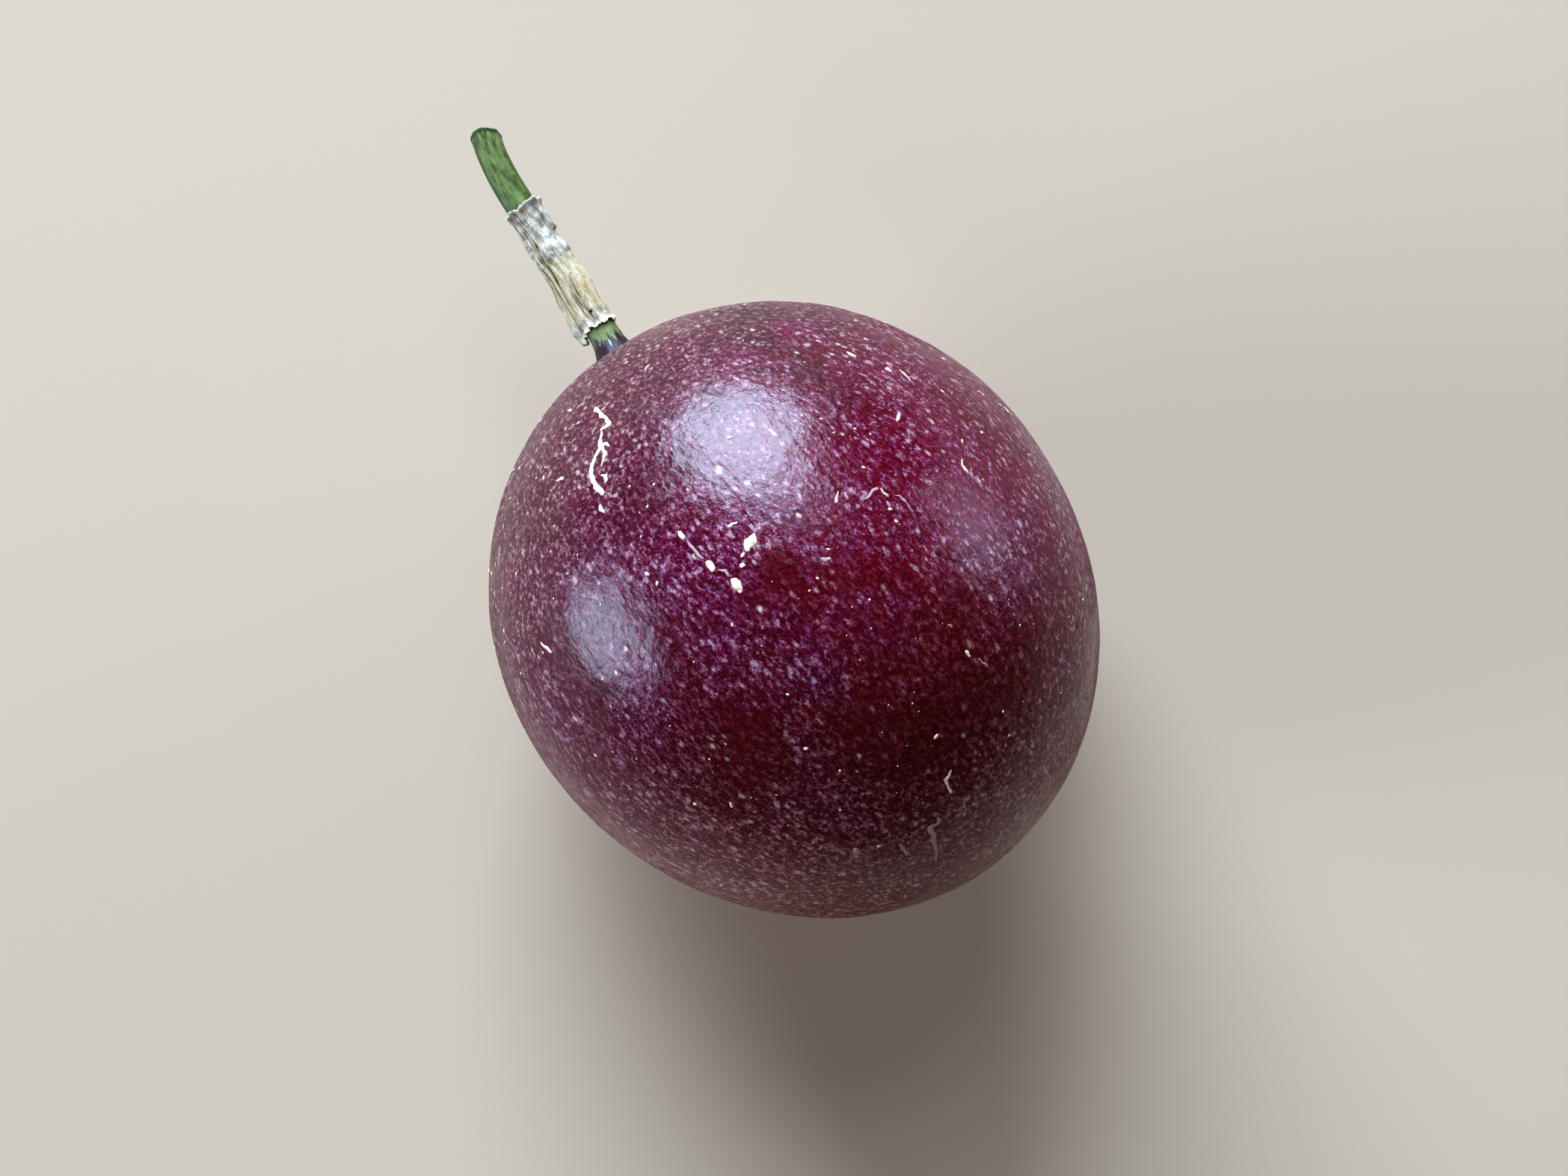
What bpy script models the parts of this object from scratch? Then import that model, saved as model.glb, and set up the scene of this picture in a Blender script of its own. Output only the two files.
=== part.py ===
"""A whole purple passion fruit lying on its side, with its cut stalk and its dried flower sleeve.

Metres, +Z up. The origin is the centre of the small flat spot that the fruit rests on, +X runs
along the fruit towards its stalk end, and +Y is to the left of that. The fruit is one solid, the
green stalk is a second that seats in a shallow socket in it, and the dried remains of the flower
tube are a third that sits around the stalk.
"""

import math

import bmesh
import bpy
from mathutils import Matrix, Vector

MM = 0.001

# The fruit, along its own axes: length from blossom end to stalk end, width across, height.
FRUIT_LENGTH = 49.3 * MM
FRUIT_WIDTH = 45.1 * MM
FRUIT_HEIGHT = 44.6 * MM
STALK_END_FULLNESS = 0.024      # how much wider the stalk end is than the middle
SIDE_LEAN = 0.009               # how much longer the fruit is on its left than in the middle
FRUIT_DROOP = math.radians(8)   # the stalk end lies this much lower than level
REST_SPOT_RADIUS = 4.0 * MM
RINGS = 40
SEGMENTS = 64

# The stalk: where it leaves the fruit, and how long each stretch is, measured along it.
STALK_BEARING = math.radians(-7.4)
NECK_LENGTH = 2.7 * MM          # green, between the fruit and the sleeve
SLEEVE_LENGTH = 11.4 * MM       # hidden in the dried sleeve
PEDUNCLE_LENGTH = 7.1 * MM      # green, out to the cut end
STALK_LENGTH = NECK_LENGTH + SLEEVE_LENGTH + PEDUNCLE_LENGTH
SOCKET_DEPTH = 0.9 * MM
GAP = 0.3 * MM                  # between pieces that touch in the real fruit

# Which way the stalk heads in plan at the start of each stretch and at its cut end.
NECK_HEADING = math.radians(-16)
SLEEVE_HEADING = math.radians(-9.3)
PEDUNCLE_HEADING = math.radians(-9.4)
TIP_HEADING = math.radians(-29)
STALK_PITCH = math.radians(-7)

SEAT_RADIUS = 1.55 * MM         # the flared foot of the neck
STALK_RADIUS = 1.18 * MM
CORE_RADIUS = 0.58 * MM         # the stalk where the sleeve hides it
SHOULDER = 0.15 * MM            # length of the step down to the core
PATH_STEP = 0.5 * MM

# The dried sleeve.
SLEEVE_WALL = 0.3 * MM
SLEEVE_RADIUS = 1.27 * MM
NODE_SWELLING = 0.14 * MM       # the knot half way along, where petals and sepals fell
COLLAR_FLARE = 0.22 * MM        # the pale ring at the peduncle's end
TORN_FLARE = 0.1 * MM           # the ragged edge at the neck's end
STRAND_RADIUS = 0.42 * MM       # the strip that has peeled off along one side
STRAND_OFFSET = 1.15 * MM       # the strip's distance from the stalk's axis where it is joined
STRAND_SPLAY = 0.65 * MM        # how much further out its free end stands


def clear_scene():
    for found in list(bpy.data.objects):
        bpy.data.objects.remove(found)


def new_collection(name):
    collection = bpy.data.collections.new(name)
    bpy.context.scene.collection.children.link(collection)
    return collection


def linear(channel):
    """One 0-255 display colour channel as the linear value that a shader takes."""
    share = channel / 255
    if share <= 0.04045:
        return share / 12.92
    return ((share + 0.055) / 1.055) ** 2.4


def make_material(name, red, green, blue, roughness):
    material = bpy.data.materials.new(name)
    material.use_nodes = True
    shader = material.node_tree.nodes["Principled BSDF"]
    shader.inputs["Base Color"].default_value = (linear(red), linear(green), linear(blue), 1)
    shader.inputs["Roughness"].default_value = roughness
    shader.inputs["Metallic"].default_value = 0
    return material


def rind_material():
    return make_material("rind", 84, 22, 44, 0.38)


def stalk_material():
    return make_material("green_stalk", 86, 112, 60, 0.6)


def sleeve_material():
    return make_material("dried_tissue", 186, 172, 148, 0.85)


def add_object(name, mesh, collection, material):
    made = bpy.data.objects.new(name, mesh)
    made.data.materials.clear()
    made.data.materials.append(material)
    collection.objects.link(made)
    return made


def smoothstep(share):
    share = min(max(share, 0), 1)
    return share * share * (3 - 2 * share)


def bump(distance, reach):
    """A rounded hump: 1 at no distance, fading to nothing over about twice the reach."""
    return math.exp(-((distance / reach) ** 2))


def fruit_height():
    """How high the middle of the tilted fruit is above its lowest point."""
    along = FRUIT_LENGTH / 2 * math.sin(FRUIT_DROOP)
    across = FRUIT_HEIGHT / 2 * math.cos(FRUIT_DROOP)
    return math.hypot(along, across)


def rest_spot_depth():
    """How much a flat spot of the wanted radius takes off the underside."""
    curve_radius = (FRUIT_LENGTH / 2) ** 2 / fruit_height()
    return REST_SPOT_RADIUS**2 / (2 * curve_radius)


def fruit_placement():
    """Turns the fruit's own axes to its resting pose, with the flat spot's centre at the origin."""
    difference = (FRUIT_LENGTH / 2) ** 2 - (FRUIT_HEIGHT / 2) ** 2
    lowest_x = difference * math.sin(FRUIT_DROOP) * math.cos(FRUIT_DROOP) / fruit_height()
    middle = Vector((-lowest_x, 0, fruit_height() - rest_spot_depth()))
    return Matrix.Translation(middle) @ Matrix.Rotation(FRUIT_DROOP, 4, "Y")


def fruit_surface(direction):
    """The point of the skin, in the fruit's own axes, that lies in a direction from its middle."""
    x, y, z = direction
    fullness = 1 + STALK_END_FULLNESS * x
    return Vector(
        (
            x * FRUIT_LENGTH / 2 * (1 + SIDE_LEAN * y),
            y * FRUIT_WIDTH / 2 * fullness,
            z * FRUIT_HEIGHT / 2 * fullness,
        )
    )


def stalk_foot():
    """Where the middle of the stalk meets the skin."""
    direction = Vector((math.cos(STALK_BEARING), math.sin(STALK_BEARING), 0))
    return fruit_placement() @ fruit_surface(direction)


def stalk_heading(distance):
    """The way the stalk runs at a distance along it from the skin, as a unit vector."""
    past_neck = smoothstep(distance / NECK_LENGTH)
    plan = NECK_HEADING + (SLEEVE_HEADING - NECK_HEADING) * past_neck
    past_sleeve = (distance - NECK_LENGTH - SLEEVE_LENGTH) / PEDUNCLE_LENGTH
    if past_sleeve > 0:
        plan = PEDUNCLE_HEADING + (TIP_HEADING - PEDUNCLE_HEADING) * past_sleeve**2
    return Vector(
        (
            math.cos(plan) * math.cos(STALK_PITCH),
            math.sin(plan) * math.cos(STALK_PITCH),
            math.sin(STALK_PITCH),
        )
    )


def stalk_point(distance):
    """The stalk's axis at a distance along it from the skin; negative is inside the fruit."""
    steps = max(1, math.ceil(abs(distance) / PATH_STEP))
    stride = distance / steps
    point = stalk_foot()
    for index in range(steps):
        point = point + stalk_heading((index + 0.5) * stride) * stride
    return point


def tube_curve(name, stations, sides_setting, capped):
    """A curve swept as a tube through (point, radius) stations."""
    curve = bpy.data.curves.new(name, "CURVE")
    curve.dimensions = "3D"
    curve.bevel_depth = 1
    curve.bevel_resolution = sides_setting
    curve.use_fill_caps = capped
    spline = curve.splines.new("POLY")
    spline.points.add(len(stations) - 1)
    for knot, (point, radius) in zip(spline.points, stations):
        knot.co = (*point, 1)
        knot.radius = radius
    return curve


def tube_mesh(name, stations, sides_setting, capped):
    """The same tube as one welded mesh, so that Boolean and Solidify can work on it."""
    curve = tube_curve(name, stations, sides_setting, capped)
    holder = bpy.data.objects.new(name, curve)
    bpy.context.scene.collection.objects.link(holder)
    depsgraph = bpy.context.evaluated_depsgraph_get()
    mesh = bpy.data.meshes.new_from_object(holder.evaluated_get(depsgraph))
    bpy.data.objects.remove(holder)
    shaped = bmesh.new()
    shaped.from_mesh(mesh)
    bmesh.ops.remove_doubles(shaped, verts=shaped.verts, dist=0.001 * MM)
    shaped.to_mesh(mesh)
    shaped.free()
    return mesh


def build_socket_cutter(collection):
    """The round socket in the stalk end, a gap wider than the neck's foot all round."""
    overshoot = 2 * MM
    stations = [
        (stalk_point(-SOCKET_DEPTH), SEAT_RADIUS + GAP),
        (stalk_point(overshoot), SEAT_RADIUS + GAP),
    ]
    mesh = tube_mesh("socket_cutter", stations, 6, True)
    cutter = bpy.data.objects.new("socket_cutter", mesh)
    cutter.hide_render = True
    cutter.display_type = "WIRE"
    collection.objects.link(cutter)
    return cutter


def build_fruit(collection, socket):
    """The fruit: a slightly egg-shaped ball with a flat spot underneath and a socket for the stalk."""
    ball = bmesh.new()
    bmesh.ops.create_uvsphere(ball, u_segments=SEGMENTS, v_segments=RINGS, radius=1)
    poles_to_ends = Matrix.Rotation(math.radians(90), 3, "Y")
    placement = fruit_placement()
    for vertex in ball.verts:
        vertex.co = placement @ fruit_surface(poles_to_ends @ vertex.co)
    everything = ball.verts[:] + ball.edges[:] + ball.faces[:]
    cut = bmesh.ops.bisect_plane(
        ball, geom=everything, plane_co=(0, 0, 0), plane_no=(0, 0, -1), clear_outer=True
    )
    rim = [item for item in cut["geom_cut"] if isinstance(item, bmesh.types.BMEdge)]
    bmesh.ops.contextual_create(ball, geom=rim)
    bmesh.ops.recalc_face_normals(ball, faces=ball.faces)
    mesh = bpy.data.meshes.new("fruit")
    ball.to_mesh(mesh)
    ball.free()
    mesh.shade_smooth()
    mesh.set_sharp_from_angle(angle=math.radians(40))
    fruit = add_object("fruit", mesh, collection, rind_material())
    cut_socket = fruit.modifiers.new("socket", "BOOLEAN")
    cut_socket.operation = "DIFFERENCE"
    cut_socket.solver = "EXACT"
    cut_socket.object = socket
    return fruit


def build_stalk(collection):
    """The stalk: flared foot, green neck, thin core inside the sleeve, green peduncle, cut end."""
    sleeve_start = NECK_LENGTH
    sleeve_end = NECK_LENGTH + SLEEVE_LENGTH
    stations = [
        (stalk_point(GAP - SOCKET_DEPTH), SEAT_RADIUS),
        (stalk_point(0), SEAT_RADIUS),
        (stalk_point(0.3 * NECK_LENGTH), 0.6 * SEAT_RADIUS + 0.4 * STALK_RADIUS),
        (stalk_point(0.7 * NECK_LENGTH), 0.1 * SEAT_RADIUS + 0.9 * STALK_RADIUS),
        (stalk_point(sleeve_start), STALK_RADIUS),
        (stalk_point(sleeve_start + SHOULDER), CORE_RADIUS),
    ]
    core_steps = 10
    for index in range(1, core_steps):
        distance = sleeve_start + SLEEVE_LENGTH * index / core_steps
        stations.append((stalk_point(distance), CORE_RADIUS))
    stations.append((stalk_point(sleeve_end - SHOULDER), CORE_RADIUS))
    peduncle_steps = 14
    for index in range(peduncle_steps + 1):
        distance = sleeve_end + PEDUNCLE_LENGTH * index / peduncle_steps
        stations.append((stalk_point(distance), STALK_RADIUS))
    mesh = tube_mesh("stalk", stations, 6, True)
    mesh.shade_smooth()
    mesh.set_sharp_from_angle(angle=math.radians(40))
    return add_object("stalk", mesh, collection, stalk_material())


def sleeve_radius(distance):
    """The sleeve's outer radius at a distance from its torn end."""
    knot = NODE_SWELLING * bump(distance - 0.6 * SLEEVE_LENGTH, 1.2 * MM)
    collar = COLLAR_FLARE * bump(distance - SLEEVE_LENGTH, 1.0 * MM)
    torn = TORN_FLARE * bump(distance, 0.8 * MM)
    return SLEEVE_RADIUS + knot + collar + torn


def build_strand_body(collection):
    """The peeled strip: joined to the sleeve near its collar, and standing off it at its free end."""
    stations = []
    steps = 14
    joined_at = 0.9 * SLEEVE_LENGTH
    free_end = -0.08 * SLEEVE_LENGTH
    for index in range(steps + 1):
        share = index / steps
        distance = joined_at + (free_end - joined_at) * share
        heading = stalk_heading(NECK_LENGTH + distance)
        left = Vector((-heading.y, heading.x, 0)).normalized()
        offset = STRAND_OFFSET + STRAND_SPLAY * smoothstep(share)
        width = STRAND_RADIUS * (0.75 + 0.35 * math.sin(math.pi * min(share * 1.2, 1)))
        stations.append((stalk_point(NECK_LENGTH + distance) + left * offset, width))
    mesh = tube_mesh("strand_body", stations, 3, True)
    strand = bpy.data.objects.new("strand_body", mesh)
    strand.hide_render = True
    strand.display_type = "WIRE"
    collection.objects.link(strand)
    return strand


def build_sleeve(collection, strand):
    """The dried sleeve: a thin open tube around the stalk's core, with the peeled strip joined to it."""
    stations = []
    steps = 22
    start = NECK_LENGTH + GAP
    usable = SLEEVE_LENGTH - 2 * GAP
    for index in range(steps + 1):
        distance = start + usable * index / steps
        stations.append((stalk_point(distance), sleeve_radius(distance - NECK_LENGTH)))
    mesh = tube_mesh("dried_sleeve", stations, 6, False)
    mesh.shade_smooth()
    sleeve = add_object("dried_sleeve", mesh, collection, sleeve_material())
    wall = sleeve.modifiers.new("wall", "SOLIDIFY")
    wall.thickness = SLEEVE_WALL
    wall.offset = -1
    joined = sleeve.modifiers.new("strand", "BOOLEAN")
    joined.operation = "UNION"
    joined.solver = "EXACT"
    joined.object = strand
    return sleeve


clear_scene()
parts = new_collection("passion_fruit")
helpers = new_collection("helpers")
build_fruit(parts, build_socket_cutter(helpers))
build_stalk(parts)
build_sleeve(parts, build_strand_body(helpers))
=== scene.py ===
"""The looks of a purple passion fruit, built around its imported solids. Metres, +Z up."""

import math

import bmesh
import bpy
from mathutils import Matrix, Vector, noise
from mathutils.bvhtree import BVHTree


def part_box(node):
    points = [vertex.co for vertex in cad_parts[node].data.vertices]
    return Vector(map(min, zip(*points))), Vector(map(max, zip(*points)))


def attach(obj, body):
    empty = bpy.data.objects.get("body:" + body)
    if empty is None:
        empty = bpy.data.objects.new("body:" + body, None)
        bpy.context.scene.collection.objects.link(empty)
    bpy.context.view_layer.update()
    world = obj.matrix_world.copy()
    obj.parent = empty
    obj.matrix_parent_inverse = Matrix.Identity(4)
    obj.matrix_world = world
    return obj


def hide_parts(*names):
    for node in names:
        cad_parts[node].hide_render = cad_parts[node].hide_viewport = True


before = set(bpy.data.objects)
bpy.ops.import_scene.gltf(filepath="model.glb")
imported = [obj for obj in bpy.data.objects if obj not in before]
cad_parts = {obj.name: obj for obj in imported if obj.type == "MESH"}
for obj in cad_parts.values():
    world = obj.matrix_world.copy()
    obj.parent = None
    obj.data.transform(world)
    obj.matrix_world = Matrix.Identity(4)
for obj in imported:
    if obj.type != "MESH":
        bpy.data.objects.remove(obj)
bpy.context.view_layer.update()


# ---------------------------------------------------------------------------------------------
# The skin: one closed rind that grew around the pulp. It is a slightly egg-shaped ball, uneven
# and finely pitted, with a low lip where the stalk leaves it and a small scar where the flower's
# style fell off. It lies on a flat spot about 8 mm across.

MM = 0.001
FRUIT_LENGTH = 49.3 * MM
FRUIT_WIDTH = 45.1 * MM
FRUIT_HEIGHT = 44.6 * MM
STALK_END_FULLNESS = 0.024
SIDE_LEAN = 0.009
FRUIT_DROOP = math.radians(8)
STALK_BEARING = math.radians(-7.4)
STALK_SIDE = Vector((math.cos(STALK_BEARING), math.sin(STALK_BEARING), 0))
BLOSSOM_SIDE = Vector((-1, 0.08, -0.3)).normalized()

_, skin_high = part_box("fruit")
droop_sine = math.sin(FRUIT_DROOP)
droop_cosine = math.cos(FRUIT_DROOP)
half_rise = math.hypot(FRUIT_LENGTH / 2 * droop_sine, FRUIT_HEIGHT / 2 * droop_cosine)
lowest_point = (FRUIT_LENGTH**2 - FRUIT_HEIGHT**2) / 4 * droop_sine * droop_cosine
fruit_middle = Vector((-lowest_point / half_rise, 0, skin_high.z - half_rise))
fruit_turn = Matrix.Rotation(FRUIT_DROOP, 3, "Y")


def skin_point(direction):
    """The point of the ideal skin in a direction from the middle."""
    x, y, z = direction.normalized()
    fullness = 1 + STALK_END_FULLNESS * x
    own = Vector(
        (
            x * FRUIT_LENGTH / 2 * (1 + SIDE_LEAN * y),
            y * FRUIT_WIDTH / 2 * fullness,
            z * FRUIT_HEIGHT / 2 * fullness,
        )
    )
    return fruit_middle + fruit_turn @ own


def add_node(tree, kind, inputs=None, **settings):
    """One node of a tree, with its settings, and its inputs set to values or joined to sockets."""
    made = tree.nodes.new(kind)
    for name, value in settings.items():
        setattr(made, name, value)
    for key, value in (inputs or {}).items():
        if isinstance(value, bpy.types.NodeSocket):
            tree.links.new(value, made.inputs[key])
        else:
            made.inputs[key].default_value = value
    return made


def calc(tree, operation, *terms):
    """A sum on single numbers."""
    return add_node(tree, "ShaderNodeMath", dict(enumerate(terms)), operation=operation).outputs[0]


def calc3(tree, operation, *terms):
    """A sum on vectors."""
    made = add_node(tree, "ShaderNodeVectorMath", dict(enumerate(terms)), operation=operation)
    gives_number = operation in ("LENGTH", "DOT_PRODUCT", "DISTANCE")
    return made.outputs["Value" if gives_number else "Vector"]


def scaled3(tree, vector, factor):
    """A vector or a colour times a number."""
    made = add_node(tree, "ShaderNodeVectorMath", {0: vector, "Scale": factor}, operation="SCALE")
    return made.outputs["Vector"]


def rise(tree, value, low, high, start=0.0, end=1.0):
    """A soft step from start to end as the value goes from low to high."""
    inputs = {"Value": value, "From Min": low, "From Max": high, "To Min": start, "To Max": end}
    made = add_node(tree, "ShaderNodeMapRange", inputs, interpolation_type="SMOOTHSTEP")
    return made.outputs["Result"]


def grain(tree, vector, scale, detail=2.0, roughness=0.5, output="Fac"):
    """Smooth noise from 0 to 1."""
    inputs = {"Vector": vector, "Scale": scale, "Detail": detail, "Roughness": roughness}
    return add_node(tree, "ShaderNodeTexNoise", inputs).outputs[output]


def blended(tree, factor, first, second):
    """A mix of two colours."""
    inputs = {"Factor": factor, "A": first, "B": second}
    return add_node(tree, "ShaderNodeMix", inputs, data_type="RGBA").outputs["Result"]


def layered(tree, colour, *layers):
    """A colour with others laid over it in turn: (share, colour) pairs."""
    for share, upper in layers:
        colour = blended(tree, share, colour, upper)
    return colour


def cells(tree, vector, size):
    """How far off the nearest of many scattered points is, in cells, and its own two numbers."""
    inputs = {"Vector": vector, "Scale": 1 / size, "Randomness": 1.0}
    made = add_node(tree, "ShaderNodeTexVoronoi", inputs)
    own = add_node(tree, "ShaderNodeSeparateColor", {"Color": made.outputs["Color"]})
    return made.outputs["Distance"], own.outputs[0], own.outputs[1]


def new_material(name, roughness):
    """An empty procedural material: its tree, its shader and the place in millimetres."""
    material = bpy.data.materials.new(name)
    material.use_nodes = True
    tree = material.node_tree
    shader = tree.nodes["Principled BSDF"]
    shader.inputs["Roughness"].default_value = roughness
    place = add_node(tree, "ShaderNodeTexCoord").outputs["Object"]
    return material, tree, shader, scaled3(tree, place, 1 / MM)


def add_relief(tree, shader, height, depth):
    """Relief too fine for the mesh: a height of about 0 to 1, and how deep 1 is in metres."""
    relief = add_node(tree, "ShaderNodeBump", {"Height": height, "Distance": depth, "Strength": 1.0})
    tree.links.new(relief.outputs["Normal"], shader.inputs["Normal"])


def new_shape_tree(name, values):
    """An empty Geometry Nodes tree with named inputs: (name, value) pairs."""
    tree = bpy.data.node_groups.new(name, "GeometryNodeTree")
    tree.interface.new_socket("Geometry", in_out="OUTPUT", socket_type="NodeSocketGeometry")
    kinds = {int: "NodeSocketInt", float: "NodeSocketFloat", Vector: "NodeSocketVector"}
    for label, value in values:
        kind = kinds.get(type(value), "NodeSocketGeometry")
        socket = tree.interface.new_socket(label, in_out="INPUT", socket_type=kind)
        if kind != "NodeSocketGeometry":
            socket.default_value = value
    return tree, tree.nodes.new("NodeGroupInput").outputs


def end_tree(tree, geometry, material):
    """The end of every tree: real faces, smooth, in their material."""
    real = add_node(tree, "GeometryNodeRealizeInstances", {0: geometry})
    smooth = add_node(tree, "GeometryNodeSetShadeSmooth", {"Geometry": real.outputs[0]})
    inputs = {"Geometry": smooth.outputs[0], "Material": material}
    coated = add_node(tree, "GeometryNodeSetMaterial", inputs)
    tree.links.new(coated.outputs[0], tree.nodes.new("NodeGroupOutput").inputs[0])


def add_piece(mesh):
    """An object at the origin for a mesh, linked to the scene."""
    made = bpy.data.objects.new(mesh.name, mesh)
    bpy.context.scene.collection.objects.link(made)
    return made


def grown(name, tree, start_mesh=None):
    """Runs a Geometry Nodes tree and keeps its result as a plain mesh object at the origin."""
    holder = add_piece(start_mesh or bpy.data.meshes.new("start"))
    grower = holder.modifiers.new(name, "NODES")
    grower.node_group = tree
    for item in tree.interface.items_tree:
        if item.in_out == "INPUT" and item.socket_type != "NodeSocketGeometry":
            grower[item.identifier] = item.default_value
    bpy.context.view_layer.update()
    depsgraph = bpy.context.evaluated_depsgraph_get()
    mesh = bpy.data.meshes.new_from_object(holder.evaluated_get(depsgraph))
    holder.modifiers.remove(grower)
    bpy.data.objects.remove(holder)
    mesh.name = name
    return add_piece(mesh)


def keep(piece, slot, *nodes):
    """Fixes a piece to the one rigid body and hides the solids it stands for; its slot argument is not
    used.
    """
    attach(piece, "root")
    if nodes:
        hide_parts(*nodes)


def rind_finish():
    """Wine-purple skin: crimson on one side, dark maroon at the blossom end, freckled all over."""
    material, tree, shader, place = new_material("rind", 0.22)
    facing = calc3(tree, "NORMALIZE", calc3(tree, "SUBTRACT", place, tuple(fruit_middle / MM)))

    # The ground colour comes from where on the fruit a point lies, blurred by broad clouds.
    cloud = calc(tree, "SUBTRACT", grain(tree, place, 0.1, 3.0, 0.55), 0.5)
    small_cloud = calc(tree, "SUBTRACT", grain(tree, place, 0.42, 3.0, 0.6), 0.5)
    unevenness = calc(tree, "MULTIPLY_ADD", cloud, 1.1, calc(tree, "MULTIPLY", small_cloud, 0.5))

    def zone(middle, start, end):
        """A soft-edged region round a side of the fruit, as a share from 0 to 1."""
        nearness = calc3(tree, "DOT_PRODUCT", facing, tuple(Vector(middle).normalized()))
        return rise(tree, calc(tree, "ADD", nearness, unevenness), start, end)

    crimson = zone((0.1, -0.60, 0.80), 0.42, 1.1)
    maroon = zone((-0.86, 0.32, 0.24), 0.12, 1.08)
    violet = zone((0.97, 0.15, 0.1), 0.35, 0.9)
    ruby = zone((-0.3, -0.2, 0.93), 0.84, 1.12)
    # Painted light in part: round the lower sides the ground is a brighter red, the skin's own colour
    # mixed with a stand-in for the warm light the floor throws back there.
    under = zone((0, 0, -1), -0.55, 0.05)
    belly = zone((0, 0, -1), -0.05, 0.70)
    crown = zone((-0.05, 0.26, 0.96), 0.80, 1.10)
    shoulder = zone((0.50, -0.78, 0.35), 0.65, 1.05)
    # Painted light: the two calm patches lie where the main highlights fall, and their flecks are thinned
    # to stand in for the glare that hides flecks there.
    calm_right = zone((0.54, -0.23, 0.81), 0.86, 1.06)
    calm_left = zone((0.35, 0.47, 0.81), 0.88, 1.06)
    calm = calc(tree, "MAXIMUM", calm_right, calm_left)
    vein = rise(tree, grain(tree, place, 2.3, 4.0, 0.68), 0.40, 0.60, 0.0, 0.6)
    ground = layered(
        tree,
        (0.11, 0.004, 0.024, 1),
        (crimson, (0.19, 0.0018, 0.015, 1)),
        # partly painted light: the brighter red of the lower sides
        (under, (0.175, 0.011, 0.012, 1)),
        (violet, (0.085, 0.012, 0.030, 1)),
        (crown, (0.085, 0.0024, 0.012, 1)),
        (ruby, (0.155, 0.0016, 0.008, 1)),
        (maroon, (0.11, 0.0022, 0.0055, 1)),
        (vein, (0.048, 0.0013, 0.0064, 1)),
    )

    # Flecks under the wax, a little longer along the fruit than across it. They are wine pink
    # where they are faint and nearly white where they are strong, and some regions have fewer.
    stretched = calc3(tree, "MULTIPLY", place, (0.60, 1.0, 1.0))
    wobble = calc3(tree, "SUBTRACT", grain(tree, place, 2.8, 4.0, 0.7, "Color"), (0.5, 0.5, 0.5))
    ragged = calc3(tree, "ADD", stretched, scaled3(tree, wobble, 0.26))

    def flecks(size, reach, strength, rarity=0.0):
        """Ragged spots of a size in millimetres; a higher rarity leaves more of them out."""
        away, own, other = cells(tree, ragged, size)
        edge = calc(tree, "MULTIPLY", reach, calc(tree, "MULTIPLY_ADD", own, 0.8, 0.5))
        near = rise(tree, calc(tree, "DIVIDE", away, edge), 0.25, 1.0, 1.0, 0.0)
        return calc(tree, "MULTIPLY", near, rise(tree, other, rarity, 1.0, 0.0, strength))

    mottle = rise(tree, grain(tree, ragged, 2.8, 2.0, 0.6), 0.46, 0.64, 0.0, 0.44)
    fine = rise(tree, grain(tree, place, 5.5, 2.0, 0.6), 0.46, 0.66, 0.0, 0.34)
    dots = calc(tree, "MAXIMUM", flecks(0.50, 0.56, 0.78, 0.0), flecks(0.80, 0.38, 0.95, 0.3))
    fleck = calc(tree, "ADD", calc(tree, "MULTIPLY_ADD", dots, 0.7, mottle), fine)
    richness = calc(tree, "MULTIPLY_ADD", small_cloud, 1.3, 0.98)
    richness_changes = (
        (crimson, -0.1),
        (violet, -0.22),
        (ruby, -0.38),
        (crown, -0.22),
        # painted light: fewer flecks under the main highlights
        (calm, -0.2),
        # partly painted light: more flecks lift the lower sides
        (under, 0.2),
        (belly, -0.4),
    )
    for share, change in richness_changes:
        richness = calc(tree, "MULTIPLY_ADD", share, change, richness)
    fleck = calc(tree, "MULTIPLY", fleck, calc(tree, "MAXIMUM", richness, 0.46))

    # The flecks' colours, which follow the ground's, then the brightest specks and the pores.
    faint = layered(
        tree,
        (0.23, 0.042, 0.112, 1),
        (violet, (0.21, 0.08, 0.092, 1)),
        (crown, (0.22, 0.036, 0.078, 1)),
        (ruby, (0.24, 0.034, 0.06, 1)),
        (maroon, (0.26, 0.072, 0.085, 1)),
    )
    pale = layered(
        tree,
        (0.38, 0.26, 0.31, 1),
        (crimson, (0.54, 0.36, 0.32, 1)),
        (violet, (0.42, 0.33, 0.28, 1)),
        (ruby, (0.42, 0.22, 0.24, 1)),
        (maroon, (0.47, 0.29, 0.30, 1)),
    )
    bright = blended(tree, maroon, (0.72, 0.53, 0.42, 1), (0.50, 0.35, 0.29, 1))
    away, own, _ = cells(tree, ragged, 1.7)
    pore = calc(tree, "MULTIPLY", rise(tree, away, 0.04, 0.10, 1.0, 0.0), rise(tree, own, 0.4, 0.5))
    surface = layered(
        tree,
        ground,
        (rise(tree, fleck, 0.0, 0.55), faint),
        (rise(tree, fleck, 0.35, 0.95), pale),
        (flecks(0.90, 0.22, 0.95, 0.55), bright),
        (pore, (0.048, 0.0045, 0.018, 1)),
    )
    surface = scaled3(tree, surface, calc(tree, "MULTIPLY_ADD", shoulder, -0.28, 1.0))
    tree.links.new(surface, shader.inputs["Base Color"])

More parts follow.
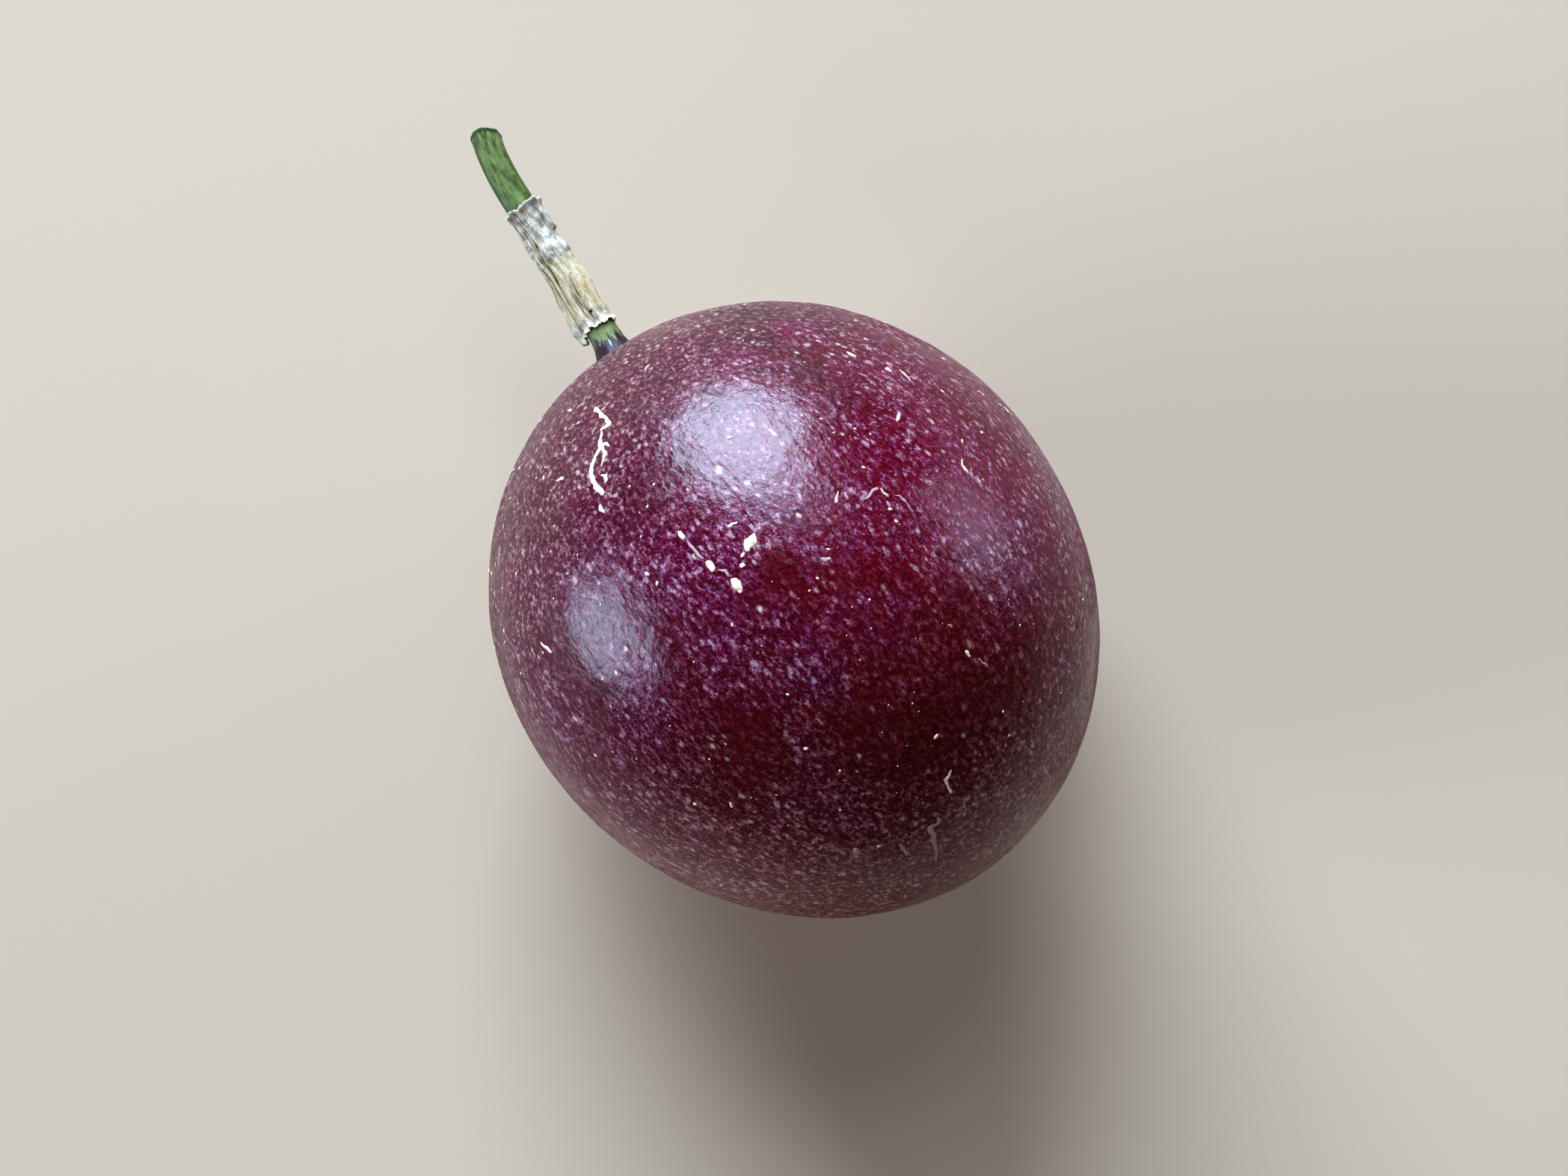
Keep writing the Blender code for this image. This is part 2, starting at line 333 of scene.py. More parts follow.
    # The wax is duller on the flecks and underneath; fine creases and pores break up its shine.
    crease = grain(tree, ragged, 1.5, 4.0, 0.52)
    grit = grain(tree, ragged, 5.0, 3.0, 0.6)
    height = calc(tree, "MULTIPLY_ADD", grit, 0.12, crease)
    height = calc(tree, "MULTIPLY_ADD", fleck, 0.05, height)
    height = calc(tree, "MULTIPLY_ADD", pore, -1.2, height)
    add_relief(tree, shader, height, 0.09 * MM)
    dull = calc(tree, "MULTIPLY_ADD", small_cloud, 0.08, 0.14)
    dull = calc(tree, "MULTIPLY_ADD", fleck, 0.06, dull)
    dull = calc(tree, "MULTIPLY_ADD", under, 0.40, dull)
    dull = calc(tree, "MULTIPLY_ADD", pore, 0.35, dull)
    tree.links.new(dull, shader.inputs["Roughness"])
    return material


def skin_tree(material):
    """A cube grid blown up to the fruit's shape, then roughened and set down on its flat spot."""
    tree, given = new_shape_tree(
        "passion_fruit_skin",
        [
            ("Grid points", 129),
            ("Length", FRUIT_LENGTH),
            ("Width", FRUIT_WIDTH),
            ("Height", FRUIT_HEIGHT),
            ("Stalk end fullness", STALK_END_FULLNESS),
            ("Side lean", SIDE_LEAN),
            ("Droop", FRUIT_DROOP),
            ("Middle", fruit_middle),
            ("Dent size", 12.0 * MM),
            ("Dent depth", 0.38 * MM),
            ("Pit size", 2.4 * MM),
            ("Pit depth", 0.11 * MM),
            ("Stalk side", STALK_SIDE),
            ("Lip top", 1.5 * MM),
            ("Lip reach", 2.6 * MM),
            ("Lip height", 0.35 * MM),
            ("Blossom side", BLOSSOM_SIDE),
            ("Scar reach", 1.5 * MM),
            ("Scar depth", -0.3 * MM),
            ("Nub height", 0.5 * MM),
        ],
    )
    points = given["Grid points"]
    inputs = {"Size": (2, 2, 2), "Vertices X": points, "Vertices Y": points, "Vertices Z": points}
    cube = add_node(tree, "GeometryNodeMeshCube", inputs).outputs["Mesh"]
    corner = add_node(tree, "GeometryNodeInputPosition").outputs["Position"]
    even = calc3(tree, "TANGENT", scaled3(tree, corner, math.pi / 4))
    way = calc3(tree, "NORMALIZE", even)
    x, y, z = add_node(tree, "ShaderNodeSeparateXYZ", {0: way}).outputs
    fullness = calc(tree, "MULTIPLY_ADD", x, given["Stalk end fullness"], 1.0)
    lean = calc(tree, "MULTIPLY_ADD", y, given["Side lean"], 1.0)

    def half(side, length, shape):
        full = calc(tree, "MULTIPLY", calc(tree, "MULTIPLY", side, length), shape)
        return calc(tree, "MULTIPLY", full, 0.5)

    inputs = {
        "X": half(x, given["Length"], lean),
        "Y": half(y, given["Width"], fullness),
        "Z": half(z, given["Height"], fullness),
    }
    ideal = add_node(tree, "ShaderNodeCombineXYZ", inputs).outputs["Vector"]

    def relief(size, depth, detail):
        swell = grain(tree, ideal, calc(tree, "DIVIDE", 1.0, size), detail, 0.55)
        return calc(tree, "MULTIPLY", calc(tree, "SUBTRACT", swell, 0.5), depth)

    def distance_from(side):
        away = calc3(tree, "DISTANCE", way, side)
        return calc(tree, "MULTIPLY", calc(tree, "MULTIPLY", away, given["Length"]), 0.5)

    dents = relief(given["Dent size"], given["Dent depth"], 2.0)
    height = calc(tree, "ADD", dents, relief(given["Pit size"], given["Pit depth"], 5.0))
    from_stalk = distance_from(given["Stalk side"])
    lip = rise(tree, from_stalk, given["Lip top"], given["Lip reach"], 1.0, 0.0)
    height = calc(tree, "MULTIPLY_ADD", lip, given["Lip height"], height)
    from_style = distance_from(given["Blossom side"])
    hollow = rise(tree, from_style, 0.0, given["Scar reach"], 1.0, 0.0)
    nub = rise(tree, from_style, 0.0, calc(tree, "MULTIPLY", given["Scar reach"], 0.5), 1.0, 0.0)
    height = calc(tree, "MULTIPLY_ADD", hollow, given["Scar depth"], height)
    height = calc(tree, "MULTIPLY_ADD", nub, given["Nub height"], height)

    shaped = calc3(tree, "ADD", ideal, scaled3(tree, way, height))
    inputs = {"Vector": shaped, "Axis": (0, 1, 0), "Angle": given["Droop"]}
    tilted = add_node(tree, "ShaderNodeVectorRotate", inputs).outputs["Vector"]
    placed = calc3(tree, "ADD", tilted, given["Middle"])
    lying = calc3(tree, "MAXIMUM", placed, (-1, -1, 0))
    moved = add_node(tree, "GeometryNodeSetPosition", {"Geometry": cube, "Position": lying})
    end_tree(tree, moved.outputs[0], material)
    return tree


skin = grown("fruit_skin", skin_tree(rind_finish()))
keep(skin, "rind", "fruit")
skin_faces = BVHTree.FromObject(skin, bpy.context.evaluated_depsgraph_get())


# ---------------------------------------------------------------------------------------------
# The corky scars: cream patches of dead cork where leaves and tendrils rubbed the young skin,
# and dusty pink trails where it was only grazed and has healed. Each is a thin, ragged-edged
# ridge that is part of the skin. The branching one near the stalk is the largest.

CORK_HEIGHT = 0.08 * MM
CORK_SINK = 0.12 * MM
CORK_STEP = 0.09 * MM
CORK_WANDER = 0.08              # how far a run strays to either side, in mm
CORK_SLICES = (-1.0, -0.85, -0.55, 0.0, 0.55, 0.85, 1.0)
# Each scar is a run of places (along the fruit, across it, half width), in millimetres from the
# middle of the resting spot, as seen from straight above.
BRANCHING_SCAR = [
    [(20.4, 0.8, 0.08), (20.2, 0.9, 0.23), (19.8, 0.8, 0.16), (19.5, 0.9, 0.22), (19.1, 0.8, 0.13),
     (18.6, 0.9, 0.22), (18.6, 1.4, 0.22), (18.7, 1.7, 0.10)],
    [(18.5, 1.65, 0.07), (18.3, 1.9, 0.12), (18.1, 2.2, 0.18), (17.7, 2.5, 0.23), (17.5, 3.0, 0.14),
     (17.3, 3.5, 0.16), (17.0, 4.0, 0.26), (16.6, 4.3, 0.18), (16.1, 4.5, 0.25), (15.5, 4.6, 0.25),
     (15.0, 4.6, 0.22), (14.85, 4.6, 0.08)],
    [(17.7, 2.4, 0.22), (17.6, 2.0, 0.13), (17.2, 2.0, 0.07)],
    [(17.6, 2.4, 0.16), (17.1, 2.5, 0.18), (17.0, 2.7, 0.14), (16.7, 3.1, 0.10), (16.5, 3.4, 0.05)],
    [(17.1, 2.6, 0.14), (16.85, 2.5, 0.05)],
    [(16.1, 3.8, 0.07), (15.8, 3.6, 0.18), (15.5, 3.8, 0.17), (15.4, 4.0, 0.05)],
    [(14.5, 5.3, 0.10), (14.2, 5.4, 0.22), (13.8, 5.4, 0.07)],
]
RUBBED_SPOTS = [
    [(9.2, 2.3, 0.09), (8.8, 2.4, 0.25), (8.5, 2.4, 0.15)],
    [(6.3, 2.3, 0.15), (5.9, 2.3, 0.32), (5.5, 2.3, 0.23), (5.4, 2.3, 0.09)],
    [(4.2, 1.9, 0.15), (3.7, 1.8, 0.38), (3.4, 1.9, 0.32), (3.0, 2.0, 0.10)],
    [(5.5, -1.5, 0.10), (5.3, -1.2, 0.32), (5.2, -0.8, 0.47), (5.0, -0.4, 0.29), (4.9, -0.2, 0.10)],
    [(4.95, -0.1, 0.08), (4.9, 0.15, 0.20), (4.8, 0.4, 0.08)],
    [(4.5, 0.8, 0.10), (4.4, 0.6, 0.21), (4.2, 0.5, 0.08)],
    [(7.1, -0.4, 0.08), (7.0, -0.7, 0.15), (6.8, -1.1, 0.05)],
]
SCRATCHES = [
    [(3.7, -7.8, 0.05), (3.5, -7.5, 0.09), (3.2, -7.1, 0.12)],
    [(1.9, -10.2, 0.05), (1.4, -10.1, 0.09), (1.0, -10.1, 0.13)],
    [(0.4, -9.5, 0.06), (0.3, -9.6, 0.16), (0.2, -9.8, 0.08)],
    [(-0.4, -9.4, 0.07), (-0.6, -9.4, 0.14), (-0.7, -9.5, 0.06)],
    [(10.9, -15.4, 0.06), (10.5, -15.5, 0.20), (10.1, -15.6, 0.10)],
    [(10.9, -17.2, 0.06), (10.6, -17.2, 0.13)],
    [(8.1, -16.6, 0.09), (7.9, -16.7, 0.19), (7.6, -16.8, 0.07)],
    [(7.4, -17.4, 0.05), (6.9, -17.4, 0.10), (6.2, -17.4, 0.04)],
    [(4.6, -14.4, 0.08), (4.8, -14.8, 0.18), (4.9, -15.0, 0.08)],
    [(0.6, -17.2, 0.05), (0.3, -17.0, 0.12)],
    [(-0.5, -16.1, 0.06), (-0.8, -15.8, 0.08), (-1.2, -15.7, 0.19), (-1.6, -15.7, 0.08)],
    [(2.4, -21.0, 0.05), (2.1, -21.1, 0.09), (1.7, -21.1, 0.05)],
    [(0.6, -21.7, 0.05), (-0.1, -21.9, 0.12), (-0.8, -21.9, 0.06)],
    [(10.3, 15.2, 0.06), (9.8, 15.2, 0.16), (9.4, 15.1, 0.19), (9.1, 15.1, 0.06)],
    [(21.8, 2.6, 0.05), (21.7, 2.4, 0.15), (21.6, 2.3, 0.07)],
    [(18.15, 6.6, 0.05), (18.1, 6.4, 0.11), (18.1, 6.1, 0.15), (17.9, 6.0, 0.06)],
    [(19.9, -3.7, 0.07), (20.0, -4.0, 0.09), (20.0, -4.2, 0.05)],
    [(8.7, 6.0, 0.07), (8.5, 6.0, 0.15), (8.3, 5.9, 0.06)],
    [(12.6, 10.3, 0.07), (12.4, 10.4, 0.11)],
    [(-5.7, 14.7, 0.16), (-6.0, 14.6, 0.12)],
    [(-7.4, 12.7, 0.08), (-7.8, 12.8, 0.15)],
    [(-8.8, 13.9, 0.08), (-9.0, 13.8, 0.15)],
    [(-10.6, -6.9, 0.09), (-10.8, -6.9, 0.16), (-11.2, -6.8, 0.08)],
    [(-16.3, -0.5, 0.09), (-16.5, -0.1, 0.13), (-16.6, 0.3, 0.16), (-17.1, 0.5, 0.10),
     (-17.6, 0.6, 0.15)],
    [(-17.9, -10.2, 0.08), (-18.0, -10.2, 0.14)],
    [(-12.0, -11.1, 0.07), (-12.2, -11.0, 0.14)],
]
HEALED_TRAILS = [
    [(8.3, 2.35, 0.08), (7.6, 2.4, 0.13), (6.9, 2.4, 0.12), (6.5, 2.3, 0.05)],
    [(5.3, 2.15, 0.06), (4.9, 1.8, 0.15), (4.4, 1.85, 0.07)],
    [(18.7, 1.6, 0.05), (18.5, 1.7, 0.10), (18.3, 1.9, 0.06)],
    [(19.1, 1.7, 0.06), (19.0, 2.1, 0.10), (18.8, 2.4, 0.06)],
    [(2.1, -8.6, 0.05), (2.0, -9.2, 0.11), (2.1, -9.6, 0.13), (2.0, -10.1, 0.10)],
    [(3.3, -8.0, 0.06), (3.0, -8.0, 0.12), (2.8, -7.9, 0.05)],
    [(0.9, -9.9, 0.12), (0.6, -9.8, 0.16), (0.4, -9.7, 0.10)],
    [(0.8, -10.6, 0.06), (0.5, -10.8, 0.10), (0.1, -10.8, 0.12), (-0.3, -10.8, 0.07),
     (-0.8, -10.7, 0.05), (-1.0, -10.7, 0.13)],
    [(1.1, -3.8, 0.09), (0.8, -3.9, 0.16), (0.5, -4.2, 0.11)],
    [(-16.1, 8.7, 0.07), (-16.1, 8.4, 0.23), (-15.9, 8.5, 0.10)],
    [(-17.9, 5.8, 0.06), (-18.4, 5.9, 0.15), (-18.9, 5.9, 0.15), (-19.2, 5.8, 0.06)],
    [(-18.3, 2.5, 0.06), (-18.7, 2.7, 0.15), (-18.5, 3.4, 0.27), (-19.1, 3.6, 0.23), (-19.7, 4.0, 0.19),
     (-20.4, 4.3, 0.12), (-20.9, 4.8, 0.06)],
    [(-11.7, -7.2, 0.05), (-12.2, -7.3, 0.10), (-12.7, -7.3, 0.05)],
]


def cork_finish(name, pale, brown):
    """Dry cork, browner in patches, and browner round its edge, partly its own colour and partly painted
    shade where it meets the skin.
    """
    material, tree, shader, place = new_material(name, 0.75)
    stain = rise(tree, grain(tree, place, 1.6, 4.0, 0.6), 0.45, 0.75)
    # Round the edge the brown is partly the cork's own and partly painted shade where its raised rim
    # meets the skin.
    edge = add_node(tree, "ShaderNodeAttribute", attribute_name="edge").outputs["Fac"]
    stain = calc(tree, "MAXIMUM", stain, rise(tree, edge, 0.6, 1.0))
    tree.links.new(blended(tree, stain, pale, brown), shader.inputs["Base Color"])
    add_relief(tree, shader, grain(tree, place, 7.0, 3.0, 0.6), 0.03 * MM)
    return material


def on_skin(x, y):
    """The skin's point and outward normal straight below a place seen from above."""
    start = Vector((x, y, skin_high.z / MM + 10)) * MM
    point, normal, _, _ = skin_faces.ray_cast(start, Vector((0, 0, -1)))
    return point, normal


def ragged_run(run):
    """A scar's run with places close enough together to follow the skin, a little wandering."""
    places = []
    for first, second in zip(run, run[1:]):
        steps = max(2, round(math.dist(first[:2], second[:2]) * MM / CORK_STEP))
        for index in range(steps):
            places.append(Vector(first).lerp(Vector(second), index / steps))
    places.append(Vector(run[-1]))
    for place in places:
        wander = CORK_WANDER * noise.noise(Vector((place.x * 2.2, place.y * 2.2, 4.0)))
        place.x += wander
        place.y -= wander
    return places


def add_scar(shape, run):
    """One closed flat-topped strip along a scar's run, its edges uneven and sunk into the skin."""
    edge = shape.verts.layers.float.get("edge") or shape.verts.layers.float.new("edge")
    places = ragged_run(run)
    grounds = [on_skin(place.x, place.y) for place in places]
    last = len(places) - 1
    rings = []
    for index, (place, (point, normal)) in enumerate(zip(places, grounds)):
        onward = grounds[min(index + 1, last)][0] - grounds[max(index - 1, 0)][0]
        side = normal.cross(onward).normalized()
        taper = 0.4 if index in (0, last) else 1.0
        ring = []
        for share in CORK_SLICES:
            flank = math.copysign(3, share)
            spread = 1 + 0.55 * noise.noise(Vector((place.x * 3.2, place.y * 3.2, flank)))
            lump = 1 + 0.5 * noise.noise(Vector((place.x * 5, place.y * 5, share * 2)))
            height = CORK_HEIGHT * ((1 - share**4) * lump * taper - 0.25)
            reach = share * spread * place.z * taper * MM
            corner = shape.verts.new(point + side * reach + normal * height)
            corner[edge] = abs(share)
            ring.append(corner)
        root = shape.verts.new(point - normal * CORK_SINK)
        root[edge] = 1.0
        ring.append(root)
        rings.append(ring)
    for first, second in zip(rings, rings[1:]):
        for index, corner in enumerate(first):
            following = (index + 1) % len(first)
            shape.faces.new((corner, first[following], second[following], second[index]))
    shape.faces.new(rings[0][::-1])
    shape.faces.new(rings[-1])


def scarred(name, runs, material):
    """One piece holding all the scars of a kind."""
    shape = bmesh.new()
    for run in runs:
        add_scar(shape, run)
    bmesh.ops.recalc_face_normals(shape, faces=shape.faces)
    mesh = bpy.data.meshes.new(name)
    shape.to_mesh(mesh)
    shape.free()
    mesh.shade_smooth()
    mesh.materials.append(material)
    keep(add_piece(mesh), "rind")


cork = cork_finish("cork", (0.88, 0.74, 0.54, 1), (0.50, 0.33, 0.24, 1))
healed = cork_finish("healed_skin", (0.52, 0.32, 0.33, 1), (0.30, 0.12, 0.15, 1))
scarred("corky_scars", BRANCHING_SCAR + RUBBED_SPOTS + SCRATCHES, cork)
scarred("healed_trails", HEALED_TRAILS, healed)


# ---------------------------------------------------------------------------------------------
# The cork freckles: breathing pores of the skin that have corked over. They are specks of the
# same cream cork, at most 0.6 mm long, scattered over the whole fruit but its resting spot.


def freckle_tree(material):
    """Flat little lumps scattered over the skin, each lying along it and half sunk in it."""
    tree, given = new_shape_tree(
        "cork_freckles",
        [
            ("Skin", None),
            ("Freckles per square metre", 90000.0),
            ("Smallest", 0.045 * MM),
            ("Largest", 0.15 * MM),
            ("Clear of the floor", 1.0 * MM),
            ("Shortest share", 0.8),
            ("Longest share", 2.0),
            ("Thickness share", 0.4),
            ("Seed", 7),
            ("Shape seed", 23),
        ],
    )
    inputs = {
        "Mesh": given["Skin"],
        "Density": given["Freckles per square metre"],
        "Seed": given["Seed"],
    }
    scatter = add_node(tree, "GeometryNodeDistributePointsOnFaces", inputs)
    spot = add_node(tree, "GeometryNodeInputPosition").outputs["Position"]
    above_floor = add_node(tree, "ShaderNodeSeparateXYZ", {0: spot}).outputs["Z"]
    low = calc(tree, "LESS_THAN", above_floor, given["Clear of the floor"])
    inputs = {"Geometry": scatter.outputs["Points"], "Selection": low}
    kept = add_node(tree, "GeometryNodeDeleteGeometry", inputs, domain="POINT").outputs[0]
    lump = add_node(tree, "GeometryNodeMeshIcoSphere", {"Radius": 1.0, "Subdivisions": 1}).outputs["Mesh"]
    chance = add_node(tree, "FunctionNodeRandomValue", {"Seed": given["Seed"]}, data_type="FLOAT")
    size = calc(tree, "POWER", chance.outputs[1], 3.0)
    spread = calc(tree, "SUBTRACT", given["Largest"], given["Smallest"])
    size = calc(tree, "MULTIPLY_ADD", size, spread, given["Smallest"])
    inputs = {2: given["Shortest share"], 3: given["Longest share"], "Seed": given["Shape seed"]}
    length = add_node(tree, "FunctionNodeRandomValue", inputs, data_type="FLOAT")
    inputs = {"X": length.outputs[1], "Y": 1.0, "Z": given["Thickness share"]}
    shape = add_node(tree, "ShaderNodeCombineXYZ", inputs).outputs["Vector"]
    inputs = {
        "Points": kept,
        "Instance": lump,
        "Rotation": scatter.outputs["Rotation"],
        "Scale": scaled3(tree, shape, size),
    }
    placed = add_node(tree, "GeometryNodeInstanceOnPoints", inputs).outputs["Instances"]
    end_tree(tree, placed, material)
    return tree


freckles = grown("cork_freckles", freckle_tree(cork), skin.data.copy())
keep(freckles, "rind")


# ---------------------------------------------------------------------------------------------
# The stalk: a live green stem with shallow lengthwise ridges. Its flared, purple-streaked neck
# carries the fruit, it runs hidden through the dried sleeve, and it ends in an oblique cut.

NECK_LENGTH = 2.7 * MM
SLEEVE_LENGTH = 11.4 * MM
PEDUNCLE_LENGTH = 7.1 * MM
STALK_LENGTH = NECK_LENGTH + SLEEVE_LENGTH + PEDUNCLE_LENGTH
NECK_HEADING = math.radians(-16)
SLEEVE_HEADING = math.radians(-9.3)
PEDUNCLE_HEADING = math.radians(-9.4)
TIP_HEADING = math.radians(-29)
STALK_PITCH = math.radians(-7)
STALK_RADIUS = 1.18 * MM
HIDDEN_RADIUS = 0.75 * MM       # where the dried sleeve covers it
SEAT_FLARE = 0.45 * MM
ROOT_DEPTH = 0.9 * MM           # how far it reaches into the fruit
AXIS_STEP = 0.05 * MM
STALK_SIDES = 96
STALK_RING_STEP = 0.07 * MM


def eased(share):
    """A soft step from 0 to 1."""
    share = min(max(share, 0.0), 1.0)
    return share * share * (3 - 2 * share)


def hump(value, middle, reach):
    """A rounded hump: 1 at its middle, nearly nothing at twice its reach."""
    return math.exp(-(((value - middle) / reach) ** 2))


def stalk_heading(distance):
    """The way the stalk runs at a distance along it from the skin, as a unit vector."""
    plan = NECK_HEADING + (SLEEVE_HEADING - NECK_HEADING) * eased(distance / NECK_LENGTH)
    past_sleeve = (distance - NECK_LENGTH - SLEEVE_LENGTH) / PEDUNCLE_LENGTH
    if past_sleeve > 0:
        plan = PEDUNCLE_HEADING + (TIP_HEADING - PEDUNCLE_HEADING) * past_sleeve**2
    flat = math.cos(STALK_PITCH)
    return Vector((math.cos(plan) * flat, math.sin(plan) * flat, math.sin(STALK_PITCH)))


axis_points = [skin_point(STALK_SIDE)]
for step in range(math.ceil(STALK_LENGTH / AXIS_STEP)):
    axis_points.append(axis_points[-1] + stalk_heading((step + 0.5) * AXIS_STEP) * AXIS_STEP)


def beside_stalk(distance, turn, radius):
    """A place round the stalk's axis; a turn of 0 is its left side, a quarter turn its upper side."""
    index = min(max(int(distance / AXIS_STEP), 0), len(axis_points) - 1)
    heading = stalk_heading(distance)
    left = Vector((-heading.y, heading.x, 0)).normalized()
    side = left * math.cos(turn) + heading.cross(left) * math.sin(turn)
    return axis_points[index] + heading * (distance - index * AXIS_STEP) + side * radius


def tube_mesh(name, rings, distances, closed_ends):
    """A mesh through rings of points. Its UV map gives turns around and millimetres along."""
    shape = bmesh.new()
    layer = shape.loops.layers.uv.new("turns_and_mm")
    rows = [[shape.verts.new(point) for point in ring] for ring in rings]
    count = len(rings[0])
    for row_index in range(len(rows) - 1):
        for index in range(count):
            corners = [(index, 0), (index + 1, 0), (index + 1, 1), (index, 1)]
            face = shape.faces.new([rows[row_index + step][turn % count] for turn, step in corners])
            for loop, (turn, step) in zip(face.loops, corners):
                loop[layer].uv = (turn / count, distances[row_index + step] / MM)
    ends = [(rows[0], distances[0]), (rows[-1], distances[-1])] if closed_ends else []
    for row, distance in ends:
        centre = shape.verts.new(sum((corner.co for corner in row), Vector()) / count)
        for index in range(count):
            face = shape.faces.new((row[index], row[(index + 1) % count], centre))
            for loop in face.loops:
                loop[layer].uv = (index / count, distance / MM)
    bmesh.ops.recalc_face_normals(shape, faces=shape.faces)
    mesh = bpy.data.meshes.new(name)
    shape.to_mesh(mesh)
    shape.free()
    mesh.shade_smooth()
    return mesh


def stalk_radius(distance):
    """Flared at the fruit, thin inside the sleeve, and slightly swollen at the collar and the cut."""
    flare = SEAT_FLARE * math.exp(-((max(distance, 0) / (1.1 * MM)) ** 1.4))
    swelling = 0.06 * MM * hump(distance, STALK_LENGTH, 1.0 * MM)
    into_sleeve = eased((distance - NECK_LENGTH - 0.15 * MM) / (0.6 * MM))
    out_of_sleeve = eased((distance - NECK_LENGTH - SLEEVE_LENGTH + 0.8 * MM) / (0.6 * MM))
    hidden = into_sleeve - out_of_sleeve
    return STALK_RADIUS + flare + swelling - (STALK_RADIUS - HIDDEN_RADIUS) * hidden


def stalk_rings():
    """The stalk's side, then its cut face: a rounded rim round a slightly dished disc of pith."""
    rings = []
    distances = []
    steps = math.ceil((STALK_LENGTH + ROOT_DEPTH) / STALK_RING_STEP)
    for step in range(steps + 1):
        distance = -ROOT_DEPTH + (STALK_LENGTH + ROOT_DEPTH) * step / steps
        near_cut = eased((distance - STALK_LENGTH) / MM + 1)
        ring = []
        for index in range(STALK_SIDES):
            turn = 2 * math.pi * index / STALK_SIDES
            circle = Vector((math.cos(turn), math.sin(turn), distance / MM * 0.08))
            twisted = turn + 0.05 * distance / MM
            facets = 0.022 * math.cos(5 * twisted + 0.8) + 0.012 * math.cos(9 * twisted)
            uneven = 0.06 * noise.noise(circle * 2.1) + 0.014 * noise.noise(circle * 9)
            slant = 0.12 * math.cos(turn) - 0.5 * math.cos(turn) ** 4 + 0.08 * noise.noise(circle * 3)
            radius = stalk_radius(distance) * (1 + facets + uneven)
            ring.append(beside_stalk(distance + slant * near_cut * MM, turn, radius))
        rings.append(ring)
        distances.append(distance)
    rim = rings[-1]
    centre = sum(rim, Vector()) / STALK_SIDES
    outward = stalk_heading(STALK_LENGTH)
    cut_face = ((0.985, 0.04), (0.95, 0.06), (0.9, 0.05), (0.84, 0.0), (0.6, -0.05), (0.3, -0.09))
    for reach, lift in cut_face:
        ring = []
        for index, point in enumerate(rim):
            rough = 0.05 * noise.noise(Vector((index * 0.4, reach * 6, 2.0)))
            ring.append(centre + (point - centre) * reach + outward * (lift + rough) * MM)
        rings.append(ring)
        distances.append(STALK_LENGTH + (1 - reach) * MM)
    return rings, distances


def around_and_along(tree, girth, length_scale):
    """Coordinates that follow a tube: round it, and stretched along it."""
    uv = add_node(tree, "ShaderNodeUVMap", uv_map="turns_and_mm").outputs["UV"]
    turns, along = add_node(tree, "ShaderNodeSeparateXYZ", {0: uv}).outputs[:2]
    turn = calc(tree, "MULTIPLY", turns, 2 * math.pi)
    inputs = {
        "X": calc(tree, "MULTIPLY", calc(tree, "COSINE", turn), girth),
        "Y": calc(tree, "MULTIPLY", calc(tree, "SINE", turn), girth),
        "Z": calc(tree, "MULTIPLY", along, length_scale),
    }
    return add_node(tree, "ShaderNodeCombineXYZ", inputs).outputs["Vector"], along


def stalk_finish():
    """Leaf green with paler lengthwise streaks and painted shade down its sides; blue-black streaks up
    the neck; a dark cut.
    """
    material, tree, shader, place = new_material("green_stalk", 0.42)
    fibre, along = around_and_along(tree, 1.2, 0.22)
    streak = grain(tree, fibre, 2.6, 5.0, 0.62)
    blotch = grain(tree, place, 1.1, 4.0, 0.6)
    streaked = rise(tree, streak, 0.38, 0.62)
    green = blended(tree, streaked, (0.058, 0.084, 0.010, 1), (0.16, 0.21, 0.042, 1))
    green = blended(tree, rise(tree, blotch, 0.44, 0.70), green, (0.20, 0.245, 0.07, 1))
    # Painted shade: the green darkens down the stalk's sides and underside, away from its upper side.
    upper_side = add_node(tree, "ShaderNodeSeparateXYZ", {0: fibre}).outputs["Y"]
    painted_flank_shade = rise(tree, upper_side, 0.2, 1.05, 0.75, 0.0)
    green = blended(tree, painted_flank_shade, green, (0.034, 0.060, 0.009, 1))
    end = STALK_LENGTH / MM
    tip_pallor = rise(tree, along, end - 2.6, end - 0.4, 0.0, 0.5)
    tip_pallor = calc(tree, "MULTIPLY", tip_pallor, rise(tree, streak, 0.4, 0.6))
    green = blended(tree, tip_pallor, green, (0.36, 0.41, 0.17, 1))
    neck_pallor = rise(tree, along, 1.6, 3.2, 0.55, 0.0)
    green = blended(tree, neck_pallor, green, (0.27, 0.28, 0.13, 1))

    # The purple of the skin runs up the neck in streaks, with a few white dashes among them.
    line = grain(tree, fibre, 4.2, 3.0, 0.6)
    reach = calc(tree, "MULTIPLY_ADD", line, -4.2, along)
    purple = rise(tree, reach, -0.85, -0.35, 1.0, 0.0)
    stained = blended(tree, purple, green, (0.032, 0.011, 0.018, 1))
    away, own, _ = cells(tree, fibre, 0.5)
    dash = calc(tree, "MULTIPLY", rise(tree, away, 0.1, 0.22, 1.0, 0.0), rise(tree, own, 0.55, 0.6))
    dash = calc(tree, "MULTIPLY", dash, rise(tree, along, 1.2, 1.7, 1.0, 0.0))
    stained = blended(tree, dash, stained, (0.53, 0.48, 0.47, 1))

    # The cut has a dark, ragged rim round paler pith.
    past_rim = calc(tree, "MULTIPLY_ADD", line, 0.9, along)
    cut = rise(tree, past_rim, end - 0.05, end + 0.25)
    colour = blended(tree, cut, stained, (0.036, 0.060, 0.012, 1))
    pith = rise(tree, along, end + 0.15, end + 0.3)
    colour = blended(tree, pith, colour, (0.24, 0.27, 0.09, 1))
    tree.links.new(colour, shader.inputs["Base Color"])
    fine = calc(tree, "ADD", grain(tree, fibre, 9.0, 4.0, 0.6), streak)
    add_relief(tree, shader, fine, 0.05 * MM)
    return material


